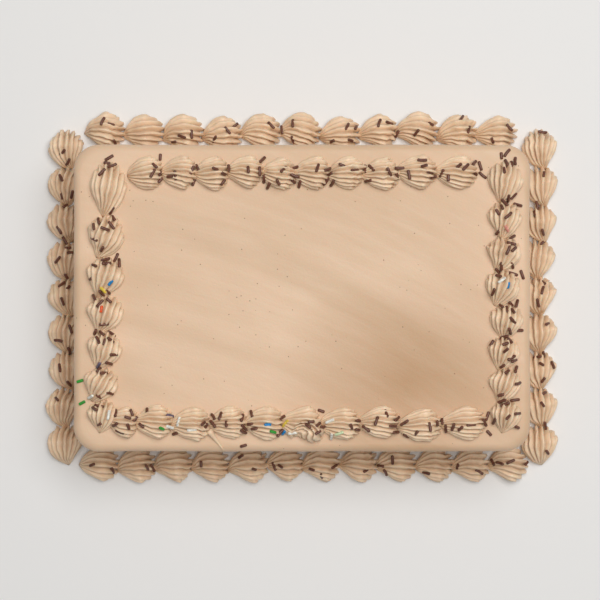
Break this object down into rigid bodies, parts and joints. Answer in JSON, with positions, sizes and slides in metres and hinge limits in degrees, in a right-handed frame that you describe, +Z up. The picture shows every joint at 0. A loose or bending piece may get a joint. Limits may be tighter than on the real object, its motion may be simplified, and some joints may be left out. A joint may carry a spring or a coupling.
{
  "type": "ice cream cake",
  "caption": "Whole rectangular ice cream cake covered in whipped topping, with piped shell borders round its top and foot and scattered sprinkles.",
  "frame": {"origin": "on the resting surface, under the middle of the cake", "axes": "+X along the cake's length, +Y towards its back edge, +Z up out of its decorated top"},
  "size_m": [0.2802, 0.2034, 0.0736],
  "materials": {
    "whipped_topping": "soft matt whipped topping",
    "piped_topping": "soft matt piped whipped topping"
  },
  "bodies": {
    "root": {"cake": "whipped_topping", "top_border_left": "piped_topping", "top_border_right": "piped_topping", "top_border_front": "piped_topping", "top_border_back": "piped_topping", "base_border_left": "piped_topping", "base_border_right": "piped_topping", "base_border_front": "piped_topping", "base_border_back": "piped_topping"}
  },
  "joints": []
}
